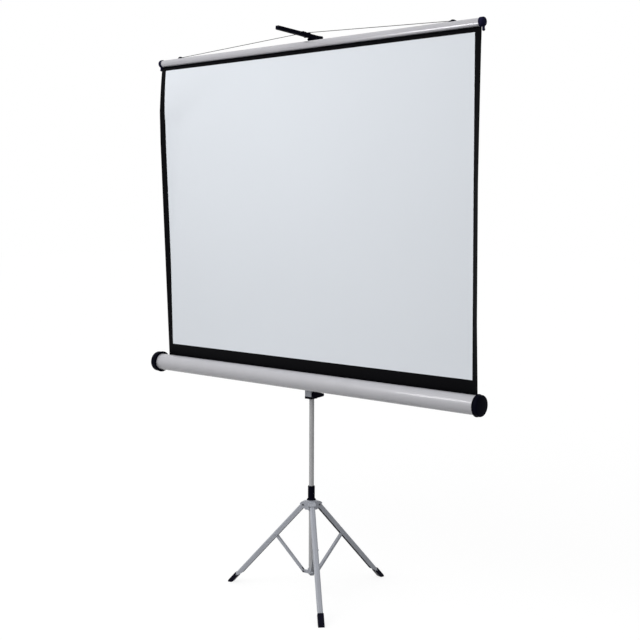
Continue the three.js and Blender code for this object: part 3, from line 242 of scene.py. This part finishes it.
MATERIALS = {
    "satin_silver": metal("satin_silver", (0.45, 0.447, 0.472), 0.10, 0.42, (0.02, 1, 1), contrast=0.03, specular=0.2,
                          coat=0.4),
    "steel_grey": metal("steel_grey", (0.375, 0.39, 0.43), 0.10, 0.36, (1, 1, 0.03), specular=0.2),
    "bright_steel": metal("bright_steel", (0.50, 0.50, 0.52), 1.0, 0.26, (1, 1, 0.05), contrast=0.04),
    "roller_steel": metal("roller_steel", (0.40, 0.41, 0.43), 0.9, 0.42, (0.03, 1, 1)),
    "black_plastic": moulded_plastic("black_plastic", (0.0033, 0.0033, 0.0075), 0.42),
    "screen_cloth": coated_cloth("screen_cloth", (0.724, 0.757, 0.801), 0.85, 0.1, 0.008, 0.05),
}
BORDER_CLOTH = coated_cloth("border_cloth", (0.0024, 0.0024, 0.0032), 0.42, 0.028, 0.1, 0.08)
BACK_CLOTH = coated_cloth("back_cloth", (0.010, 0.010, 0.011), 0.6, 0.15, 0.1, 0.10)
CABLE = metal("wire_cable", (0.006, 0.006, 0.007), 0.0, 0.45, (0.1, 1, 1), specular=0.05)
SLAT_ALUMINIUM = metal("slat_aluminium", (0.455, 0.452, 0.477), 0.35, 0.30, (0.02, 1, 1), contrast=0.03, specular=0.2,
                       coat=0.06)
MAST_STEEL = metal("mast_steel", (0.43, 0.43, 0.438), 0.10, 0.36, (1, 1, 0.03), specular=0.2)
# Painted shade: a darker copy of the grey steel for the faces inside the leg and brace channels, where shade falls
CHANNEL_PAINTED_SHADE = metal("channel_painted_shade", (0.13, 0.135, 0.15), 0.10, 0.50, (1, 1, 0.03), specular=0.1)
NAVY_PLASTIC = moulded_plastic("navy_plastic", (0.011, 0.0105, 0.030), 0.38)
BOOT_RUBBER = moulded_plastic("boot_rubber", (0.0045, 0.0045, 0.0105), 0.30, specular=0.05)
RIVET_STEEL = metal("rivet_steel", (0.07, 0.07, 0.08), 0.6, 0.40, (1, 1, 1))
OWN_LOOKS = {"mast_tube": MAST_STEEL, "slat_tube": SLAT_ALUMINIUM,
             "slat_cap_left": NAVY_PLASTIC, "slat_cap_right": NAVY_PLASTIC}
CHANNELS = []
for number in (1, 2, 3):
    OWN_LOOKS[f"hub_rivet_{number}"] = RIVET_STEEL
    OWN_LOOKS[f"collar_rivet_{number}"] = RIVET_STEEL
    OWN_LOOKS[f"brace_rivet_{number}"] = MATERIALS["steel_grey"]
    OWN_LOOKS[f"foot_{number}"] = BOOT_RUBBER
    CHANNELS += [f"leg_{number}", f"brace_{number}"]


def paint_channel_shade(piece):
    """The faces of a folded channel that look at its own other wall get a darker material: painted shade inside the
    channel.
    """
    piece.data.materials.append(CHANNEL_PAINTED_SHADE)
    shape = bmesh.new()
    shape.from_mesh(piece.data)
    walls = BVHTree.FromBMesh(shape)
    shape.free()
    for polygon in piece.data.polygons:
        start = polygon.center + polygon.normal * 0.0002
        if walls.ray_cast(start, polygon.normal, CHANNEL_REACH)[0]:
            polygon.material_index = 1


def dress_node(name, slot):
    """A carried-over solid gets its slot's material, smooth faces and softened edges."""
    piece = frame["nodes"][name]
    piece.data.materials.clear()
    piece.data.materials.append(OWN_LOOKS.get(name, MATERIALS[slot]))
    if name in CHANNELS:
        paint_channel_shade(piece)
    for polygon in piece.data.polygons:
        polygon.use_smooth = True
    bevel = piece.modifiers.new("softened_edges", "BEVEL")
    bevel.width = BEVEL_WIDTH
    bevel.segments = 2
    bevel.limit_method = "ANGLE"
    bevel.angle_limit = SMOOTH_ANGLE
    bevel.harden_normals = True


# Fabric
def share_between(value, start, end):
    return min(max((value - start) / (end - start), 0.0), 1.0)


def spread_columns(half):
    """X places across the sheet: closer together near the sides, and on the borders' inner lines."""
    edge = [half - EDGE_ZONE * (i / EDGE_COLUMNS) ** 1.5 for i in range(EDGE_COLUMNS + 1)]
    edge.append(half - SIDE_BORDER)
    flat = half - EDGE_ZONE
    middle = [flat - 2 * flat * i / FABRIC_COLUMNS for i in range(FABRIC_COLUMNS + 1)]
    places = edge + middle + [-x for x in edge]
    return sorted({round(x, 6) for x in places})


def left_curl(inward, share):
    """The left edge stands forward most a little below the slat, and lies flat again at the case."""
    depth = LEFT_CURL * share_between(1 - share, 0, 0.15) ** 0.7 * share_between(share, 0.02, 0.74)
    width = 0.038 + 0.092 * share_between(share, 0.34, 0.85) + 0.5 * share_between(share, 0.80, 1.0) ** 1.5
    return depth * max(1 - inward / width, 0) ** 2


def right_curl(inward, share):
    """The right edge stands forward from mid height down."""
    depth = RIGHT_CURL * share_between(1 - share, 0.02, 0.42) ** 0.8 * share_between(share, -0.2, 0.21)
    return depth * max(1 - inward / RIGHT_CURL_WIDTH, 0) ** 2


def curl_at(x, share, half):
    curl = left_curl if x < 0 else right_curl
    return curl(half - abs(x), share)


def fabric_sheet():
    low, high = (Vector(corner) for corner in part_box("screen_fabric"))
    slat_low, slat_high = (Vector(corner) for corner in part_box("slat_tube"))
    case_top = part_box("case_tube")[1][2]
    top = slat_low.z
    bottom = case_top - FABRIC_INTO_CASE
    slat_y = (slat_low.y + slat_high.y) / 2
    base_y = MAST_AXIS.y - FABRIC_FROM_MAST
    centre_x = (low.x + high.x) / 2
    half = (high.x - low.x) / 2
    top_line = slat_low.z - TOP_BORDER
    bottom_line = case_top + BOTTOM_BORDER
    columns = spread_columns(half)
    rows = sorted({round(bottom + (top - bottom) * i / FABRIC_ROWS, 6) for i in range(FABRIC_ROWS + 1)}
                  | {round(top_line, 6), round(bottom_line, 6)})
    mesh = bmesh.new()
    grids = []
    for offset in (-FABRIC_THICKNESS / 2, FABRIC_THICKNESS / 2):
        grid = []
        for z in rows:
            share = (z - bottom) / (top - bottom)
            plane_y = base_y + (slat_y - base_y) * share
            grid.append([
                mesh.verts.new((centre_x + x, plane_y - curl_at(x, share, half) + offset, z)) for x in columns
            ])
        grids.append(grid)
    front, back = grids
    for i in range(len(rows) - 1):
        for j in range(len(columns) - 1):
            face = mesh.faces.new((front[i][j], front[i][j + 1], front[i + 1][j + 1], front[i + 1][j]))
            middle_x = (columns[j] + columns[j + 1]) / 2
            middle_z = (rows[i] + rows[i + 1]) / 2
            in_image = abs(middle_x) < half - SIDE_BORDER and bottom_line < middle_z < top_line
            face.material_index = 0 if in_image else 1
            face = mesh.faces.new((back[i][j], back[i + 1][j], back[i + 1][j + 1], back[i][j + 1]))
            face.material_index = 2
    rim = [(front[0], back[0]), (front[-1], back[-1]),
           ([row[0] for row in front], [row[0] for row in back]),
           ([row[-1] for row in front], [row[-1] for row in back])]
    for near, far in rim:
        for i in range(len(near) - 1):
            face = mesh.faces.new((near[i], near[i + 1], far[i + 1], far[i]))
            face.material_index = 1
    bmesh.ops.recalc_face_normals(mesh, faces=mesh.faces)
    data = bpy.data.meshes.new("hung_fabric")
    mesh.to_mesh(data)
    mesh.free()
    for material in (MATERIALS["screen_cloth"], BORDER_CLOTH, BACK_CLOTH):
        data.materials.append(material)
    for polygon in data.polygons:
        polygon.use_smooth = True
    sheet = bpy.data.objects.new("hung_fabric", data)
    bpy.context.collection.objects.link(sheet)
    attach(sheet, "case")
    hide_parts("screen_fabric")
    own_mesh(sheet)
    return sheet


def hung_wire():
    """The wire over the arm, round in section."""
    low, high = (Vector(corner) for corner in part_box("hanging_wire"))
    arm_low, arm_high = (Vector(corner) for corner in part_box("keystone_arm"))
    slat_y = centre_of("slat_tube").y
    end_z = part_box("slat_tube")[1][2] + WIRE_ABOVE_SLAT
    apex = Vector(((low.x + high.x) / 2, high.y - WIRE_RADIUS, high.z - WIRE_RADIUS))
    saddle = Vector((arm_high.x - arm_low.x, 0, 0))
    route = [Vector((low.x, slat_y, end_z)), apex - saddle, apex + saddle, Vector((high.x, slat_y, end_z))]
    turns = [2 * math.pi * i / WIRE_SIDES for i in range(WIRE_SIDES)]
    section = [Vector((0, WIRE_RADIUS * math.cos(turn), WIRE_RADIUS * math.sin(turn))) for turn in turns]
    mesh = bmesh.new()
    rings = [[mesh.verts.new(place + corner) for corner in section] for place in route]
    for near, far in zip(rings, rings[1:]):
        for i in range(WIRE_SIDES):
            mesh.faces.new((near[i - 1], near[i], far[i], far[i - 1]))
    mesh.faces.new(rings[0])
    mesh.faces.new(rings[-1])
    bmesh.ops.recalc_face_normals(mesh, faces=mesh.faces)
    data = bpy.data.meshes.new("hung_wire")
    mesh.to_mesh(data)
    mesh.free()
    data.materials.append(CABLE)
    for polygon in data.polygons:
        polygon.use_smooth = True
    wire = bpy.data.objects.new("hung_wire", data)
    bpy.context.collection.objects.link(wire)
    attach(wire, "slat")
    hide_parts("hanging_wire")
    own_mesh(wire)
    return wire


# Stage
def seen_directly(tree):
    """One for rays that show the background itself: from the camera, in metal and through clear pieces."""
    path = add_node(tree, "ShaderNodeLightPath")
    in_metal = add_node(tree, "ShaderNodeMath", operation="MAXIMUM")
    tree.links.new(path.outputs["Is Camera Ray"], in_metal.inputs[0])
    tree.links.new(path.outputs["Is Glossy Ray"], in_metal.inputs[1])
    in_glass = add_node(tree, "ShaderNodeMath", operation="MAXIMUM")
    tree.links.new(in_metal.outputs["Value"], in_glass.inputs[0])
    tree.links.new(path.outputs["Is Transmission Ray"], in_glass.inputs[1])
    return in_glass


def stage_material():
    """A pale floor, lifted to white where it is seen. It keeps the object's shadow."""
    material, tree, shader = new_material("pale_floor")
    shader.inputs["Base Color"].default_value = (FLOOR_COLOUR, FLOOR_COLOUR, FLOOR_COLOUR, 1)
    shader.inputs["Roughness"].default_value = 0.9
    shader.inputs["Specular IOR Level"].default_value = 0.0
    shader.inputs["Emission Color"].default_value = (1, 1, 1, 1)
    lift = add_node(tree, "ShaderNodeMath", operation="MULTIPLY")
    lift.inputs[1].default_value = FLOOR_LIFT
    tree.links.new(seen_directly(tree).outputs["Value"], lift.inputs[0])
    tree.links.new(lift.outputs["Value"], shader.inputs["Emission Strength"])
    return material


def build_stage():
    bpy.ops.mesh.primitive_plane_add(size=60, location=(0, 0, 0))
    floor = bpy.context.object
    floor.name = "floor"
    floor.data.materials.append(stage_material())


def level_along(tree, place, axis, reach, levels):
    """A level that runs from one value to another along a direction."""
    along = add_node(tree, "ShaderNodeVectorMath", operation="DOT_PRODUCT")
    link(tree, place, "Generated", along, 0)
    along.inputs[1].default_value = axis
    spread = add_node(tree, "ShaderNodeMapRange")
    spread.inputs["From Min"].default_value, spread.inputs["From Max"].default_value = reach
    spread.inputs["To Min"].default_value, spread.inputs["To Max"].default_value = levels
    link(tree, along, "Value", spread, "Value")
    return spread


def build_world():
    """A white room that is brighter overhead and in front. Seen directly it is plain white."""
    world = bpy.data.worlds.new("studio")
    bpy.context.scene.world = world
    world.use_nodes = True
    tree = world.node_tree
    background = tree.nodes["Background"]
    background.inputs["Color"].default_value = (1, 1, 1, 1)
    place = add_node(tree, "ShaderNodeTexCoord")
    around = level_along(tree, place, DIM_SIDE, (-1, 1), (WORLD_BRIGHT, WORLD_DIM))
    overhead = level_along(tree, place, OVERHEAD, (0.3, 1.0), (0, 1))
    level = add_node(tree, "ShaderNodeMix", data_type="FLOAT")
    link(tree, overhead, "Result", level, "Factor")
    link(tree, around, "Result", level, "A")
    level.inputs["B"].default_value = WORLD_TOP
    shown = add_node(tree, "ShaderNodeMix", data_type="FLOAT")
    link(tree, seen_directly(tree), "Value", shown, "Factor")
    link(tree, level, "Result", shown, "A")
    shown.inputs["B"].default_value = 1.0
    link(tree, shown, "Result", background, "Strength")


def area_light(name, place, target, size, watts):
    lamp = bpy.data.lights.new(name, "AREA")
    lamp.shape = "RECTANGLE"
    lamp.size, lamp.size_y = size
    lamp.energy = watts
    light = bpy.data.objects.new(name, lamp)
    light.location = place
    light.rotation_euler = (Vector(target) - Vector(place)).to_track_quat("-Z", "Y").to_euler()
    bpy.context.collection.objects.link(light)
    return light


def build_lights():
    """A soft key that only shades, and a strip that only draws a line of light along the case and the slat."""
    key = area_light("key_softbox", (-0.35, -2.0, 2.5), (-0.3, 0, 2.0), (1.6, 1.2), 16)
    key.visible_glossy = False
    strip = area_light("strip_light", (0.0, -0.98, 1.48), (0.0, 0, 1.48), (0.55, 0.30), 6.2)
    strip.visible_diffuse = False


def build_camera():
    forward = Vector((
        -math.sin(CAMERA_YAW) * math.cos(CAMERA_PITCH),
        math.cos(CAMERA_YAW) * math.cos(CAMERA_PITCH),
        -math.sin(CAMERA_PITCH),
    ))
    level_right = Vector((math.cos(CAMERA_YAW), math.sin(CAMERA_YAW), 0))
    level_up = level_right.cross(forward)
    right = math.cos(CAMERA_ROLL) * level_right + math.sin(CAMERA_ROLL) * level_up
    up = -math.sin(CAMERA_ROLL) * level_right + math.cos(CAMERA_ROLL) * level_up
    data = bpy.data.cameras.new("photo_camera")
    data.sensor_width = SENSOR_WIDTH
    data.lens = FOCAL_PIXELS / IMAGE_PIXELS * SENSOR_WIDTH
    camera = bpy.data.objects.new("photo_camera", data)
    bpy.context.collection.objects.link(camera)
    camera.matrix_world = Matrix((
        (right.x, up.x, -forward.x, MAST_AXIS.x + CAMERA_FROM_MAST.x),
        (right.y, up.y, -forward.y, MAST_AXIS.y + CAMERA_FROM_MAST.y),
        (right.z, up.z, -forward.z, CAMERA_FROM_MAST.z),
        (0, 0, 0, 1),
    ))
    bpy.context.scene.camera = camera


build_camera()
build_world()
build_lights()
build_stage()
for subpart in frame["record"]["subparts"]:
    dress_node(subpart["node"], subpart["material_slot"])
fabric_sheet()
hung_wire()

bpy.context.scene.view_settings.view_transform = "Standard"
